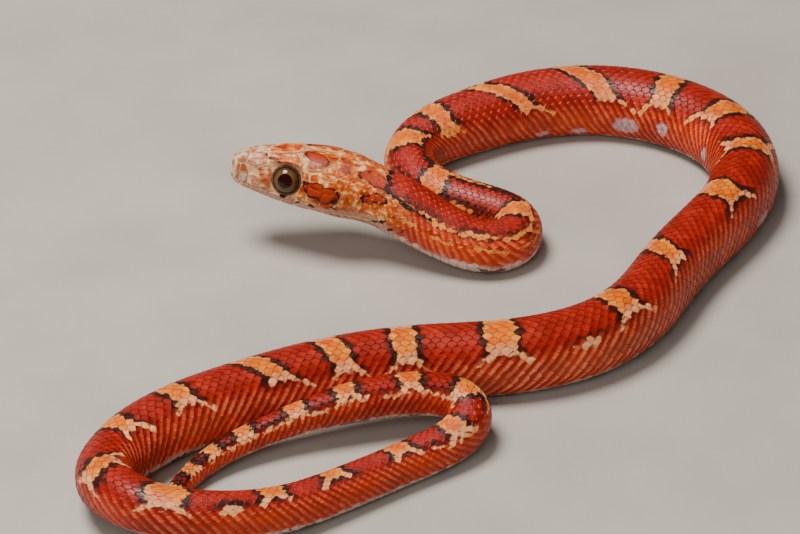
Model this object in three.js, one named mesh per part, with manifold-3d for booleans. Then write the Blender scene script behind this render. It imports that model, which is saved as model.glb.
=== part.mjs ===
// A young corn snake, life size, lying in two loose loops with its head raised a little.
// Millimetres, +Z up, the floor at z = 0. The origin is under the middle of the whole animal.
import * as THREE from 'three';
import { mergeVertices } from 'three/addons/utils/BufferGeometryUtils.js';
import Module from 'manifold-3d';

// Driving dimensions

// Control points of the body's centreline in plan, from the nape to the tip of the tail.
// They guide a smooth curve that passes close to them.
const NECK_COURSE = [[-3.5, 4.5], [4, 1.7], [10.2, -0.9], [15, 1.7], [15, 7.1], [10.5, 9.8], [4.5, 13],
  [0.5, 19.5]];
const FAR_LOOP_COURSE = [[2.2, 25.3], [8, 29.3], [16, 34], [26.5, 36], [37, 32.5], [44.5, 24.5], [45, 13.5]];
const MIDDLE_COURSE = [[39.5, 4], [33.5, -4.5], [29.5, -14.5], [22.5, -22], [12.5, -25.5], [2, -25.5],
  [-8.5, -28]];
const NEAR_LOOP_COURSE = [[-17.5, -32.3], [-26.5, -37.5], [-33.2, -44.8], [-32.7, -52.3], [-26, -57.7],
  [-15.5, -54.8], [-6, -48.2], [2, -42.5], [8.7, -38.3]];
const TAIL_COURSE = [[7.8, -32.9], [0.7, -33], [-7.5, -35.3], [-17.5, -39.3], [-23.5, -44], [-26, -50],
  [-27, -56], [-29.5, -61.5]];
const COURSE = [...NECK_COURSE, ...FAR_LOOP_COURSE, ...MIDDLE_COURSE, ...NEAR_LOOP_COURSE, ...TAIL_COURSE];
const ORIGIN_IN_PLAN = [6.43, -10.85];

// Keys of [distance behind the nape, value]
const RADIUS_KEYS = [[0, 3.75], [4, 3.75], [9, 3.5], [15, 3.2], [27, 3.1], [40, 3.25], [46, 3.5],
  [52, 4.05], [60, 4.4], [68, 4.6], [80, 4.7], [92, 4.65], [104, 4.4], [118, 4.25], [134, 4.2], [154, 4.4],
  [166, 4.35], [178, 4.25], [190, 4.15], [200, 4.05], [207, 3.8], [214, 3.3], [224, 2.85], [238, 2.6],
  [250, 2.45], [262, 2.5], [272, 2.55], [279, 2.4], [284, 2.1], [288, 1.8], [294, 1.55], [300, 1.35],
  [306, 1.1], [312, 0.7], [315, 0.35]];
const LIFT_KEYS = [[0, 4.9], [4, 3.6], [8, 2.1], [13, 0.6], [17, 0], [208, 0], [213, 1], [217, 2.1],
  [222, 2.6], [228, 2], [235, 0.7], [241, 0], [258, 0], [264, 0.9], [270, 1.8], [278, 2.1], [288, 1.7],
  [295, 0.9], [301, 0.2], [305, 0], [320, 0]];

// Stations where the body is parted, and what each stretch is called
const STRETCHES = [
  { name: 'neck', stations: [0, 12, 19, 31, 44] },
  {
    name: 'trunk',
    stations: [44, 58, 74, 90, 105, 120, 136, 152, 168, 184, 198, 209, 220, 234, 248, 260, 272],
  },
  { name: 'tail', stations: [272, 286, 300, Infinity] },
];
const PARTING_GAP = 0.3;

const SECTION_SIDES = 20;
const RING_STEP = 2.5;
const RING_STEP_IN_BENDS = 1.7;
const BEND_RADIUS_LIMIT = 9;
const BELLY_HEIGHT = 0.86;
const BELLY_DEPTH = 0.9;
const BELLY_SQUARENESS = 2.5;
const TAIL_TIP_LENGTH = 0.4;
const NAPE_BEND = 6;
// Distances either side of a station over which its direction and its bend are measured
const DIRECTION_REACH = 0.4;
const BEND_REACH = 1.5;
// A turn smaller than this, in radians, counts as straight
const STRAIGHT = 1e-6;

// The head, measured forwards from the nape
const HEAD_YAW = 10;
const HEAD_PITCH = 6.5;
const HEAD_ROLL = 7;
const HEAD_LENGTH = 18.1;
const HEAD_STEPS = 20;
const HEAD_SIDES = 28;
// The nose is drawn in over its last part, by a curve of this squareness; the crown and chin keep a share
const NOSE_START = 0.82;
const NOSE_SQUARENESS = 2.6;
const CROWN_AT_NOSE = 0.35;
const CHIN_AT_NOSE = 0.45;
// Rings of the head crowd towards the nose by this power
const RING_CROWDING = 1.35;
const HEAD_WIDTH_KEYS = [[0, 3.7], [2, 3.95], [4.5, 4.35], [6.5, 4.4], [8.5, 4.1], [10.4, 3.75],
  [12.5, 3.25], [14.5, 2.75], [16, 2.4], [18.1, 2.1]];
const CROWN_KEYS = [[0, 4], [3, 4.4], [6, 4.5], [8.5, 4.35], [10.4, 4.15], [12.5, 3.75], [14.5, 3.2],
  [16, 2.75], [18.1, 2.2]];
const CHIN_KEYS = [[0, 3.3], [3, 3.3], [6, 3.05], [10.4, 2.7], [14, 2.3], [16, 1.95], [18.1, 1.5]];
const CROWN_SQUARENESS = 2.5;
const CHIN_SQUARENESS = 3;
const JAW_INSET = 0.93;
const JAW_INSET_REACH = 0.5;
const MOUTH_LINE = [[4.4, -1.4], [6.2, -1.9], [9, -2.15], [12, -1.95], [15, -1.5], [20, -1.05]];
const MOUTH_GAP = 0.3;
// The jaw is cut from the head by a block this wide and deep, set back from the corner of the mouth
const JAW_BLOCK = { width: 12, depth: 6, setback: 1.6 };
const EYE = { radius: 1.88, forward: 10.4, side: 2.3, up: 0.95 };
const EYE_GAP = 0.3;
const EYE_SEGMENTS = 18;
const EYE_RINGS = 12;

const WELD_DISTANCE = 1e-4;

const SCALE_RED = new THREE.MeshStandardMaterial({ color: 0xa83418, roughness: 0.38, metalness: 0 });
const HEAD_TAN = new THREE.MeshStandardMaterial({ color: 0xc9784a, roughness: 0.42, metalness: 0 });
const JAW_CREAM = new THREE.MeshStandardMaterial({ color: 0xd9b8a8, roughness: 0.45, metalness: 0 });
const EYE_BROWN = new THREE.MeshStandardMaterial({ color: 0x3a2a16, roughness: 0.08, metalness: 0 });

// A smooth value between keys, level beyond the last of them
function keyed(keys, at) {
  if (at <= keys[0][0]) return keys[0][1];
  const last = keys.length - 1;
  if (at >= keys[last][0]) return keys[last][1];
  const i = keys.findIndex(([where]) => where > at) - 1;
  const slope = (k) => {
    const before = keys[Math.max(k - 1, 0)];
    const after = keys[Math.min(k + 1, last)];
    return (after[1] - before[1]) / (after[0] - before[0]);
  };
  const width = keys[i + 1][0] - keys[i][0];
  const t = (at - keys[i][0]) / width;
  const t2 = t * t;
  const t3 = t2 * t;
  return (2 * t3 - 3 * t2 + 1) * keys[i][1] + (t3 - 2 * t2 + t) * width * slope(i)
    + (3 * t2 - 2 * t3) * keys[i + 1][1] + (t3 - t2) * width * slope(i + 1);
}

// The centreline in plan: a uniform cubic B-spline, sampled finely and measured along its length
function planCurve(samplesPerSpan = 40) {
  const mirrored = (a, b) => [2 * a[0] - b[0], 2 * a[1] - b[1]];
  const ends = COURSE.length - 1;
  const points = [mirrored(COURSE[0], COURSE[1]), ...COURSE, mirrored(COURSE[ends], COURSE[ends - 1])];
  const samples = [];
  for (let i = 0; i + 3 < points.length; i += 1) {
    for (let k = 0; k <= samplesPerSpan; k += 1) {
      if (k === 0 && i > 0) continue;
      const t = k / samplesPerSpan;
      const rising = -3 * t ** 3 + 3 * t ** 2 + 3 * t + 1;
      const weights = [(1 - t) ** 3, 3 * t ** 3 - 6 * t ** 2 + 4, rising, t ** 3];
      const blend = (axis) => weights.reduce((sum, w, j) => sum + (w * points[i + j][axis]) / 6, 0);
      const place = [blend(0), blend(1)];
      samples.push({ x: place[0] - ORIGIN_IN_PLAN[0], y: place[1] - ORIGIN_IN_PLAN[1], station: 0 });
    }
  }
  for (let i = 1; i < samples.length; i += 1) {
    const step = Math.hypot(samples[i].x - samples[i - 1].x, samples[i].y - samples[i - 1].y);
    samples[i].station = samples[i - 1].station + step;
  }
  return samples;
}

const CURVE = planCurve();
const BODY_LENGTH = CURVE[CURVE.length - 1].station;

// Centre of the body at a station
function centreAt(station) {
  const s = Math.min(Math.max(station, 0), BODY_LENGTH);
  let i = CURVE.findIndex((sample) => sample.station >= s);
  i = Math.max(i, 1);
  const a = CURVE[i - 1];
  const b = CURVE[i];
  const t = (s - a.station) / (b.station - a.station);
  const height = keyed(LIFT_KEYS, s) + BELLY_HEIGHT * keyed(RADIUS_KEYS, s);
  return new THREE.Vector3(a.x + (b.x - a.x) * t, a.y + (b.y - a.y) * t, height);
}

// The head's forward, left and up directions
function headDirections() {
  const yaw = THREE.MathUtils.degToRad(HEAD_YAW);
  const pitch = THREE.MathUtils.degToRad(HEAD_PITCH);
  const roll = THREE.MathUtils.degToRad(HEAD_ROLL);
  const level = Math.cos(pitch);
  const forward = new THREE.Vector3(-Math.cos(yaw) * level, Math.sin(yaw) * level, Math.sin(pitch));
  const left = new THREE.Vector3(0, 0, 1).cross(forward).normalize();
  const up = new THREE.Vector3().crossVectors(forward, left);
  left.applyAxisAngle(forward, roll);
  up.applyAxisAngle(forward, roll);
  return { forward, left, up };
}

const HEAD = headDirections();

// Along, side and up directions of the body at a station, square to the head at the nape
function directionsAt(station) {
  const free = THREE.MathUtils.smoothstep(station, 0, NAPE_BEND);
  const start = Math.max(station - DIRECTION_REACH, 0);
  const along = centreAt(station + DIRECTION_REACH).sub(centreAt(start)).normalize();
  along.lerp(HEAD.forward.clone().negate(), 1 - free).normalize();
  const upright = HEAD.up.clone().lerp(new THREE.Vector3(0, 0, 1), free);
  const side = new THREE.Vector3().crossVectors(along, upright).normalize();
  const up = new THREE.Vector3().crossVectors(side, along);
  return { along, side, up };
}

// Radius of the bend in plan at a station
function bendRadiusAt(station) {
  const turn = directionsAt(station - BEND_REACH).along.angleTo(directionsAt(station + BEND_REACH).along);
  return (2 * BEND_REACH) / Math.max(turn, STRAIGHT);
}

function signedPower(value, power) {
  return Math.sign(value) * Math.abs(value) ** power;
}

// One closed section of the body: round above, with a flattened belly that never goes below the floor
function bodySection(station) {
  const centre = centreAt(station);
  const { side, up } = directionsAt(station);
  const radius = keyed(RADIUS_KEYS, station);
  const section = [];
  for (let k = 0; k < SECTION_SIDES; k += 1) {
    const angle = (2 * Math.PI * k) / SECTION_SIDES;
    const sine = Math.sin(angle);
    const cosine = Math.cos(angle);
    const belly = cosine < 0;
    const power = 2 / BELLY_SQUARENESS;
    const across = radius * (belly ? signedPower(sine, power) : sine);
    const rise = radius * (belly ? BELLY_DEPTH * signedPower(cosine, power) : cosine);
    const point = centre.clone().addScaledVector(side, across).addScaledVector(up, rise);
    point.z = Math.max(point.z, 0);
    section.push(point);
  }
  return section;
}

// A closed solid through sections of equal point count, with its ends closed by fans
function loft(sections, startPoint, endPoint) {
  const sides = sections[0].length;
  const positions = [];
  const push = (...corners) => corners.forEach((p) => positions.push(p.x, p.y, p.z));
  for (let i = 0; i + 1 < sections.length; i += 1) {
    for (let k = 0; k < sides; k += 1) {
      const next = (k + 1) % sides;
      const [a, b] = [sections[i][k], sections[i][next]];
      const [c, d] = [sections[i + 1][k], sections[i + 1][next]];
      push(a, b, d);
      push(a, d, c);
    }
  }
  const last = sections[sections.length - 1];
  for (let k = 0; k < sides; k += 1) {
    const next = (k + 1) % sides;
    push(startPoint, sections[0][next], sections[0][k]);
    push(endPoint, last[k], last[next]);
  }
  const geometry = new THREE.BufferGeometry();
  geometry.setAttribute('position', new THREE.Float32BufferAttribute(positions, 3));
  return geometry;
}

function middleOf(section) {
  const middle = new THREE.Vector3();
  section.forEach((p) => middle.add(p));
  return middle.divideScalar(section.length);
}

function finished(geometry, material, name) {
  const merged = mergeVertices(geometry, WELD_DISTANCE);
  merged.computeVertexNormals();
  const mesh = new THREE.Mesh(merged, material);
  mesh.name = name;
  return mesh;
}

// Stations of the rings between two partings, closer together where the body bends tightly
function ringStations(from, to) {
  const stations = [from];
  let at = from;
  while (at < to) {
    const step = bendRadiusAt(at) < BEND_RADIUS_LIMIT ? RING_STEP_IN_BENDS : RING_STEP;
    at += step;
    if (at < to - step / 2) stations.push(at);
  }
  stations.push(to);
  return stations;
}

function bodyLength(name, from, to) {
  const isTip = to === Infinity;
  const start = from + PARTING_GAP / 2;
  const end = isTip ? BODY_LENGTH - TAIL_TIP_LENGTH : to - PARTING_GAP / 2;
  const sections = ringStations(start, end).map(bodySection);
  const closing = isTip ? centreAt(BODY_LENGTH) : middleOf(sections[sections.length - 1]);
  return finished(loft(sections, middleOf(sections[0]), closing), SCALE_RED, name);
}

function makeBody() {
  const group = new THREE.Group();
  for (const { name, stations } of STRETCHES) {
    for (let i = 0; i + 1 < stations.length; i += 1) {
      group.add(bodyLength(`${name}_${i + 1}`, stations[i], stations[i + 1]));
    }
  }
  return group;
}

// Half width, crown height and chin depth shrink to the nose in a quarter round
function noseRounding(forward) {
  const start = HEAD_LENGTH * NOSE_START;
  if (forward <= start) return 1;
  const t = Math.min((forward - start) / (HEAD_LENGTH - start), 1);
  return Math.sqrt(1 - t ** NOSE_SQUARENESS);
}

function headSection(forward) {
  const rounding = noseRounding(forward);
  const half = keyed(HEAD_WIDTH_KEYS, forward) * rounding;
  const crown = keyed(CROWN_KEYS, forward) * (CROWN_AT_NOSE + (1 - CROWN_AT_NOSE) * rounding);
  const chin = keyed(CHIN_KEYS, forward) * (CHIN_AT_NOSE + (1 - CHIN_AT_NOSE) * rounding);
  const section = [];
  for (let k = 0; k < HEAD_SIDES; k += 1) {
    const angle = (2 * Math.PI * k) / HEAD_SIDES;
    const sine = Math.sin(angle);
    const cosine = Math.cos(angle);
    const below = cosine < 0;
    const power = 2 / (below ? CHIN_SQUARENESS : CROWN_SQUARENESS);
    const inset = below ? 1 - (1 - JAW_INSET) * Math.min(1, -cosine / JAW_INSET_REACH) : 1;
    const across = -half * inset * signedPower(sine, power);
    const rise = (below ? chin : crown) * signedPower(cosine, power);
    section.push(new THREE.Vector3(forward, across, rise));
  }
  return section;
}

function wholeHead() {
  const sections = [];
  for (let i = 0; i < HEAD_STEPS; i += 1) {
    const t = i / (HEAD_STEPS - 1);
    const forward = PARTING_GAP / 2 + (HEAD_LENGTH - PARTING_GAP) * (1 - (1 - t) ** RING_CROWDING);
    sections.push(headSection(forward));
  }
  const nose = middleOf(sections[sections.length - 1]);
  nose.x = HEAD_LENGTH;
  return loft(sections, middleOf(sections[0]), nose);
}

// What lies below the mouth line, moved down by an amount
function belowMouth(drop) {
  const shape = new THREE.Shape();
  const first = MOUTH_LINE[0];
  const last = MOUTH_LINE[MOUTH_LINE.length - 1];
  shape.moveTo(first[0] + JAW_BLOCK.setback + drop, -JAW_BLOCK.depth);
  shape.lineTo(last[0], -JAW_BLOCK.depth);
  for (const [forward, up] of [...MOUTH_LINE].reverse()) shape.lineTo(forward + drop, up - drop);
  const geometry = new THREE.ExtrudeGeometry(shape, { depth: JAW_BLOCK.width, bevelEnabled: false });
  geometry.translate(0, 0, -JAW_BLOCK.width / 2);
  geometry.rotateX(Math.PI / 2);
  return geometry;
}

function toManifold(wasm, source) {
  const geometry = source.clone();
  geometry.deleteAttribute('normal');
  geometry.deleteAttribute('uv');
  const merged = mergeVertices(geometry, WELD_DISTANCE);
  return new wasm.Manifold(new wasm.Mesh({
    numProp: 3,
    vertProperties: new Float32Array(merged.attributes.position.array),
    triVerts: new Uint32Array(merged.index.array),
  }));
}

function toGeometry(manifold) {
  const mesh = manifold.getMesh();
  const geometry = new THREE.BufferGeometry();
  const places = new Float32Array(mesh.numVert * 3);
  for (let i = 0; i < mesh.numVert; i += 1) {
    for (let k = 0; k < 3; k += 1) places[3 * i + k] = mesh.vertProperties[mesh.numProp * i + k];
  }
  geometry.setAttribute('position', new THREE.BufferAttribute(places, 3));
  geometry.setIndex(new THREE.BufferAttribute(new Uint32Array(mesh.triVerts), 1));
  return geometry;
}

function eyeBall(side, extra) {
  const geometry = new THREE.SphereGeometry(EYE.radius + extra, EYE_SEGMENTS, EYE_RINGS);
  geometry.translate(EYE.forward, side * EYE.side, EYE.up);
  return geometry;
}

function makeHead(wasm) {
  const group = new THREE.Group();
  const whole = toManifold(wasm, wholeHead());
  const jaw = whole.intersect(toManifold(wasm, belowMouth(MOUTH_GAP)));
  let head = whole.subtract(toManifold(wasm, belowMouth(0)));
  for (const [name, side] of [['eye_left', 1], ['eye_right', -1]]) {
    head = head.subtract(toManifold(wasm, eyeBall(side, EYE_GAP)));
    group.add(finished(eyeBall(side, 0), EYE_BROWN, name));
  }
  group.add(finished(toGeometry(head), HEAD_TAN, 'head'));
  group.add(finished(toGeometry(jaw), JAW_CREAM, 'lower_jaw'));

  group.setRotationFromMatrix(new THREE.Matrix4().makeBasis(HEAD.forward, HEAD.left, HEAD.up));
  group.position.copy(centreAt(0));
  return group;
}

const wasm = await Module();
wasm.setup();

const snake = new THREE.Group();
snake.add(makeBody());
snake.add(makeHead(wasm));

export default snake;
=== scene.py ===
"""A young corn snake, life size, lying in two loose loops with its head raised a little.

Lengths in the tables are millimetres and angles are degrees. Meshes are written in metres.
"""

import math

import bpy
import numpy as np
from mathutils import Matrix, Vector


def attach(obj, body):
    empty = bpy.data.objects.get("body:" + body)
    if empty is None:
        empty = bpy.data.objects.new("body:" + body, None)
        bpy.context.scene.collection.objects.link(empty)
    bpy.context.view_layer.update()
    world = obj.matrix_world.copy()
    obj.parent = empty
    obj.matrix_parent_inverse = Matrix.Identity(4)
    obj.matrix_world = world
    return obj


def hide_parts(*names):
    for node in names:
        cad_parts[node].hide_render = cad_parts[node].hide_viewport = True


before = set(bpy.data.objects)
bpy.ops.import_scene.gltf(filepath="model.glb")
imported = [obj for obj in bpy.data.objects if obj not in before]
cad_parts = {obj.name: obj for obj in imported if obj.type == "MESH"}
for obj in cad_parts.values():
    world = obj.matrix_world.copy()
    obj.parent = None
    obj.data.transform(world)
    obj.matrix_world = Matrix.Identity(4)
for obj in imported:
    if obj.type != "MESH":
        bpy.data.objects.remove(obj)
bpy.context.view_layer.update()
MM = 0.001
# A fixed seed, so that each run is the same
random = np.random.default_rng(7)

# The body's course, as the frame has it
ORIGIN_IN_PLAN = np.array([6.43, -10.85])
NECK_COURSE = [[-3.5, 4.5], [4, 1.7], [10.2, -0.9], [15, 1.7], [15, 7.1], [10.5, 9.8], [4.5, 13], [0.5, 19.5]]
FAR_LOOP_COURSE = [[2.2, 25.3], [8, 29.3], [16, 34], [26.5, 36], [37, 32.5], [44.5, 24.5], [45, 13.5]]
MIDDLE_COURSE = [[39.5, 4], [33.5, -4.5], [29.5, -14.5], [22.5, -22], [12.5, -25.5], [2, -25.5], [-8.5, -28]]
NEAR_LOOP_COURSE = [[-17.5, -32.3], [-26.5, -37.5], [-33.2, -44.8], [-32.7, -52.3], [-26, -57.7],
                    [-15.5, -54.8], [-6, -48.2], [2, -42.5], [8.7, -38.3]]
TAIL_COURSE = [[7.8, -32.9], [0.7, -33], [-7.5, -35.3], [-17.5, -39.3], [-23.5, -44], [-26, -50], [-27, -56],
               [-29.5, -61.5]]
COURSE = NECK_COURSE + FAR_LOOP_COURSE + MIDDLE_COURSE + NEAR_LOOP_COURSE + TAIL_COURSE

# Keys of [distance behind the nape, value]
RADIUS_KEYS = [[0, 3.75], [4, 3.75], [9, 3.5], [15, 3.2], [27, 3.1], [40, 3.25], [46, 3.5], [52, 4.05],
               [60, 4.4], [68, 4.6], [80, 4.7], [92, 4.65], [104, 4.4], [118, 4.25], [134, 4.2], [154, 4.4],
               [166, 4.35], [178, 4.25], [190, 4.15], [200, 4.05], [207, 3.8], [214, 3.3], [224, 2.85],
               [238, 2.6], [250, 2.45], [262, 2.5], [272, 2.55], [279, 2.4], [284, 2.1], [288, 1.8],
               [294, 1.55], [300, 1.35], [306, 1.1], [312, 0.7], [315, 0.35]]
LIFT_KEYS = [[0, 4.9], [4, 3.6], [8, 2.1], [13, 0.6], [17, 0], [208, 0], [213, 1], [217, 2.1], [222, 2.6],
             [228, 2], [235, 0.7], [241, 0], [258, 0], [264, 0.9], [270, 1.8], [278, 2.1], [288, 1.7],
             [295, 0.9], [301, 0.2], [305, 0], [320, 0]]
# The radius at which forks and scales have their full size
THICK_RADIUS = 4.4
# How far the back leans to the animal's left, in degrees
ROLL_KEYS = [[-4, 0], [2, -6], [12, -17], [20, -16], [30, -20], [40, -13], [50, 5], [62, 18], [85, 12],
             [98, -4], [118, 2], [132, 6], [150, -4], [172, -14], [190, -3], [204, 14], [214, 18],
             [226, -3], [240, -12], [252, -12], [262, 0], [280, 4], [300, 0]]
BELLY_HEIGHT = 0.86
BELLY_DEPTH = 0.9
NAPE_BEND = 6

# The head, measured forwards from the nape
HEAD_YAW = 10
HEAD_PITCH = 6.5
HEAD_ROLL = 7
HEAD_LENGTH = 18.1
# The nose is drawn in over its last part, where the crown and the chin keep a share of their height
NOSE_START = HEAD_LENGTH * 0.82
NOSE_SQUARENESS = 2.6
CROWN_AT_NOSE = 0.35
CHIN_AT_NOSE = 0.45
# Powers of the ovals of a section, where 2 is round
CROWN_SQUARENESS = 2.5
CHIN_SQUARENESS = 3
BACK_SQUARENESS = 2
BELLY_SQUARENESS = 2.5
JAW_INSET = 0.07
TAIL_TIP = 0.8
HEAD_WIDTH_KEYS = [[0, 3.7], [2, 3.95], [4.5, 4.35], [6.5, 4.4], [8.5, 4.1], [10.4, 3.75], [12.5, 3.25],
                   [14.5, 2.75], [16, 2.4], [18.1, 2.1]]
CROWN_KEYS = [[0, 4], [3, 4.4], [6, 4.5], [8.5, 4.35], [10.4, 4.15], [12.5, 3.75], [14.5, 3.2], [16, 2.75],
              [18.1, 2.2]]
CHIN_KEYS = [[0, 3.3], [3, 3.3], [6, 3.05], [10.4, 2.7], [14, 2.3], [16, 1.95], [18.1, 1.5]]
MOUTH_KEYS = [[3.6, -1.1], [4.4, -1.4], [6.2, -1.9], [9, -2.15], [12, -1.95], [15, -1.5], [18.1, -1.2]]
MOUTH_CORNER = 4.4
EYE_RADIUS = 1.88
EYE_CENTRE = np.array([10.4, 2.3, 0.95])
EYE_TILT = 14
EYE_FORWARD_TURN = 4
EYE_RIM = 1.72
# The skin rises to the rim over this distance, stands this far over the eye, and passes this far behind it
SOCKET_REACH = 1.1
RIM_LIFT = 0.10
SOCKET_BACK = 0.45
# Millimetres round the head for each radian, where its shields and marks are laid out
SHIELD_RADIUS = 4.0
MARK_RADIUS = 4.1

# The coat of scales
COAT_DEPTH = 0.12
ROWS = [[-6.5, 60, 25], [60, 196, 27], [196, 262, 23], [262, 284, 17], [284, 300, 13], [300, 314.4, 9]]
PITCH_KEYS = [[-6.5, 0.72], [5, 0.85], [40, 1.0], [70, 1.22], [160, 1.22], [200, 1.12], [230, 1.0],
              [262, 0.95], [284, 0.85], [300, 0.72], [315, 0.5]]
VENTRAL_EDGE = 126
# The unwrap lays the body out in this many strips, and gives each scale a patch of this size
UNWRAP_STRIPS = 12
BAKE_PATCH = 0.003


def keyed(keys, at):
    """A smooth value between keys, level beyond the last of them."""
    table = np.array(keys, float)
    x = np.clip(at, table[0, 0], table[-1, 0])
    last = len(table) - 1
    before = table[np.maximum(np.arange(last + 1) - 1, 0)]
    after = table[np.minimum(np.arange(last + 1) + 1, last)]
    slope = (after[:, 1] - before[:, 1]) / (after[:, 0] - before[:, 0])
    i = np.clip(np.searchsorted(table[:, 0], x, side="right") - 1, 0, last - 1)
    width = table[i + 1, 0] - table[i, 0]
    t = (x - table[i, 0]) / width
    start = (2 * t**3 - 3 * t**2 + 1) * table[i, 1] + (t**3 - 2 * t**2 + t) * width * slope[i]
    end = (3 * t**2 - 2 * t**3) * table[i + 1, 1] + (t**3 - t**2) * width * slope[i + 1]
    return start + end


def smoothstep(low, high, x):
    t = np.clip((x - low) / (high - low), 0, 1)
    return t * t * (3 - 2 * t)


def hump(x, middle, spread):
    return np.exp(-((x - middle) / spread) ** 2)


def unit(v):
    return v / np.linalg.norm(v, axis=-1, keepdims=True)


def wrapped(turn):
    """An angle in radians brought to between minus and plus half a turn."""
    return (turn + math.pi) % (2 * math.pi) - math.pi


def body_radius(s):
    return keyed(RADIUS_KEYS, np.clip(s, 0, None))


def spun(v, axis, degrees):
    """Turns v about a unit axis."""
    angle = math.radians(degrees)
    return v * math.cos(angle) + np.cross(axis, v) * math.sin(angle)


def head_directions():
    yaw, pitch = math.radians(HEAD_YAW), math.radians(HEAD_PITCH)
    forward = np.array([-math.cos(yaw) * math.cos(pitch), math.sin(yaw) * math.cos(pitch), math.sin(pitch)])
    left = unit(np.cross([0, 0, 1.0], forward))
    up = np.cross(forward, left)
    return forward, spun(left, forward, HEAD_ROLL), spun(up, forward, HEAD_ROLL)


FORWARD, LEFT, UP = head_directions()


def course_in_plan(per_span=40):
    """The plan curve: a uniform cubic B-spline through mirrored end points."""
    points = np.array(COURSE, float) - ORIGIN_IN_PLAN
    points = np.vstack([2 * points[0] - points[1], points, 2 * points[-1] - points[-2]])
    t = np.linspace(0, 1, per_span, endpoint=False)[:, None]
    weights = [(1 - t) ** 3, 3 * t**3 - 6 * t**2 + 4, -3 * t**3 + 3 * t**2 + 3 * t + 1, t**3]
    spans = [sum(w * points[i + j] for j, w in enumerate(weights)) / 6 for i in range(len(points) - 3)]
    end = (points[-3] + 4 * points[-2] + points[-1]) / 6
    return np.vstack(spans + [end[None]])


class Spine:
    """The centreline with its directions, tabled finely from the nose (negative) to the tail tip."""

    def __init__(self, step=0.1):
        plan = course_in_plan()
        run = np.concatenate([[0], np.cumsum(np.linalg.norm(np.diff(plan, axis=0), axis=1))])
        self.length = run[-1]
        self.s = np.arange(-HEAD_LENGTH - 1, self.length + step / 2, step)
        behind = np.clip(self.s, 0, None)
        height = keyed(LIFT_KEYS, behind) + BELLY_HEIGHT * keyed(RADIUS_KEYS, behind)
        place = np.stack([np.interp(behind, run, plan[:, 0]), np.interp(behind, run, plan[:, 1]), height], 1)
        place += np.minimum(self.s, 0)[:, None] * -FORWARD
        rounded = self.smoothed(place, step, 1.3)
        near = hump(self.s, 0, 4.0)[:, None]
        self.place = place + (rounded - place) * near
        along = unit(np.gradient(self.smoothed(place, step, 0.5), axis=0))
        free = smoothstep(0, NAPE_BEND, self.s)[:, None]
        along = unit(along * free - FORWARD * (1 - free))
        upright = UP * (1 - free) + np.array([0, 0, 1.0]) * free
        self.side = unit(np.cross(along, upright))
        self.up = np.cross(self.side, along)
        self.along = along

    @staticmethod
    def smoothed(values, step, spread):
        reach = int(4 * spread / step)
        kernel = np.exp(-0.5 * (np.arange(-reach, reach + 1) * step / spread) ** 2)
        kernel /= kernel.sum()
        slope_in, slope_out = values[1] - values[0], values[-1] - values[-2]
        steps = np.arange(1, reach + 1)[:, None]
        padded = np.vstack([values[0] - slope_in * steps[::-1], values, values[-1] + slope_out * steps])
        return np.stack([np.convolve(padded[:, k], kernel, "valid") for k in range(3)], 1)

    def at(self, s, table):
        return np.stack([np.interp(s, self.s, table[:, k]) for k in range(3)], -1)


SPINE = Spine()
NAPE = SPINE.at(np.array(0.0), SPINE.place)


def nose_rounding(forward):
    t = np.clip((forward - NOSE_START) / (HEAD_LENGTH - NOSE_START), 0, 1)
    return np.sqrt(np.clip(1 - t**NOSE_SQUARENESS, 0, 1))


def section_sizes(s):
    """Half width, height above and depth below the centreline, and the squareness of top and belly."""
    forward = np.clip(-s, 0, HEAD_LENGTH)
    body = smoothstep(-3, 3, s)
    radius = body_radius(s) * np.sqrt(np.clip((SPINE.length + 0.05 - s) / TAIL_TIP, 0, 1))
    rounding = nose_rounding(forward)
    head_half = keyed(HEAD_WIDTH_KEYS, forward) * rounding
    head_top = keyed(CROWN_KEYS, forward) * (CROWN_AT_NOSE + (1 - CROWN_AT_NOSE) * rounding)
    head_low = keyed(CHIN_KEYS, forward) * (CHIN_AT_NOSE + (1 - CHIN_AT_NOSE) * rounding)
    half = head_half * (1 - body) + radius * body
    top = head_top * (1 - body) + radius * body
    low = head_low * (1 - body) + BELLY_DEPTH * radius * body
    top_power = CROWN_SQUARENESS + (BACK_SQUARENESS - CROWN_SQUARENESS) * body
    low_power = CHIN_SQUARENESS + (BELLY_SQUARENESS - CHIN_SQUARENESS) * body
    return half, top, low, top_power, low_power


def surface(s, turn, lift):
    """Points on the animal: s along it, turn in radians from the top to its left, lift outwards in mm."""
    half, top, low, top_power, low_power = section_sizes(s)
    sine, cosine = np.sin(turn), np.cos(turn)
    belly = cosine < 0
    power = 2 / np.where(belly, low_power, top_power)
    shrink = np.minimum(half, 1.0)
    lift_here = lift * shrink
    drawn_in = JAW_INSET * np.minimum(1, -2 * cosine) * smoothstep(0, -2, s)
    inset = np.where(belly & (s < 0), 1 - drawn_in, 1.0)
    across = (half * inset + lift_here) * np.sign(sine) * np.abs(sine) ** power
    height = np.where(belly, low, top) + lift_here
    rise = height * np.sign(cosine) * np.abs(cosine) ** power
    point = SPINE.at(s, SPINE.place)
    point += SPINE.at(s, SPINE.side) * across[..., None] + SPINE.at(s, SPINE.up) * rise[..., None]
    floor = np.maximum(-lift_here, 0)
    point[..., 2] = np.where(s > 0, np.maximum(point[..., 2], floor), point[..., 2])
    return point


def head_to_world(points):
    """Head coordinates (forward, left, up) to the frame's millimetres."""
    points = np.asarray(points, float)
    return NAPE + points[..., :1] * FORWARD + points[..., 1:2] * LEFT + points[..., 2:3] * UP


def head_coordinates(world):
    away = world - NAPE
    return np.stack([away @ FORWARD, away @ LEFT, away @ UP], -1)


def from_eye_axis(point):
    """Height of head points along the axis through the eye, their distance from it, and the axis itself."""
    axis = eye_axis()
    away = point - EYE_CENTRE
    along = away @ axis
    return along, np.linalg.norm(away - along[..., None] * axis, axis=-1), axis


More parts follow.
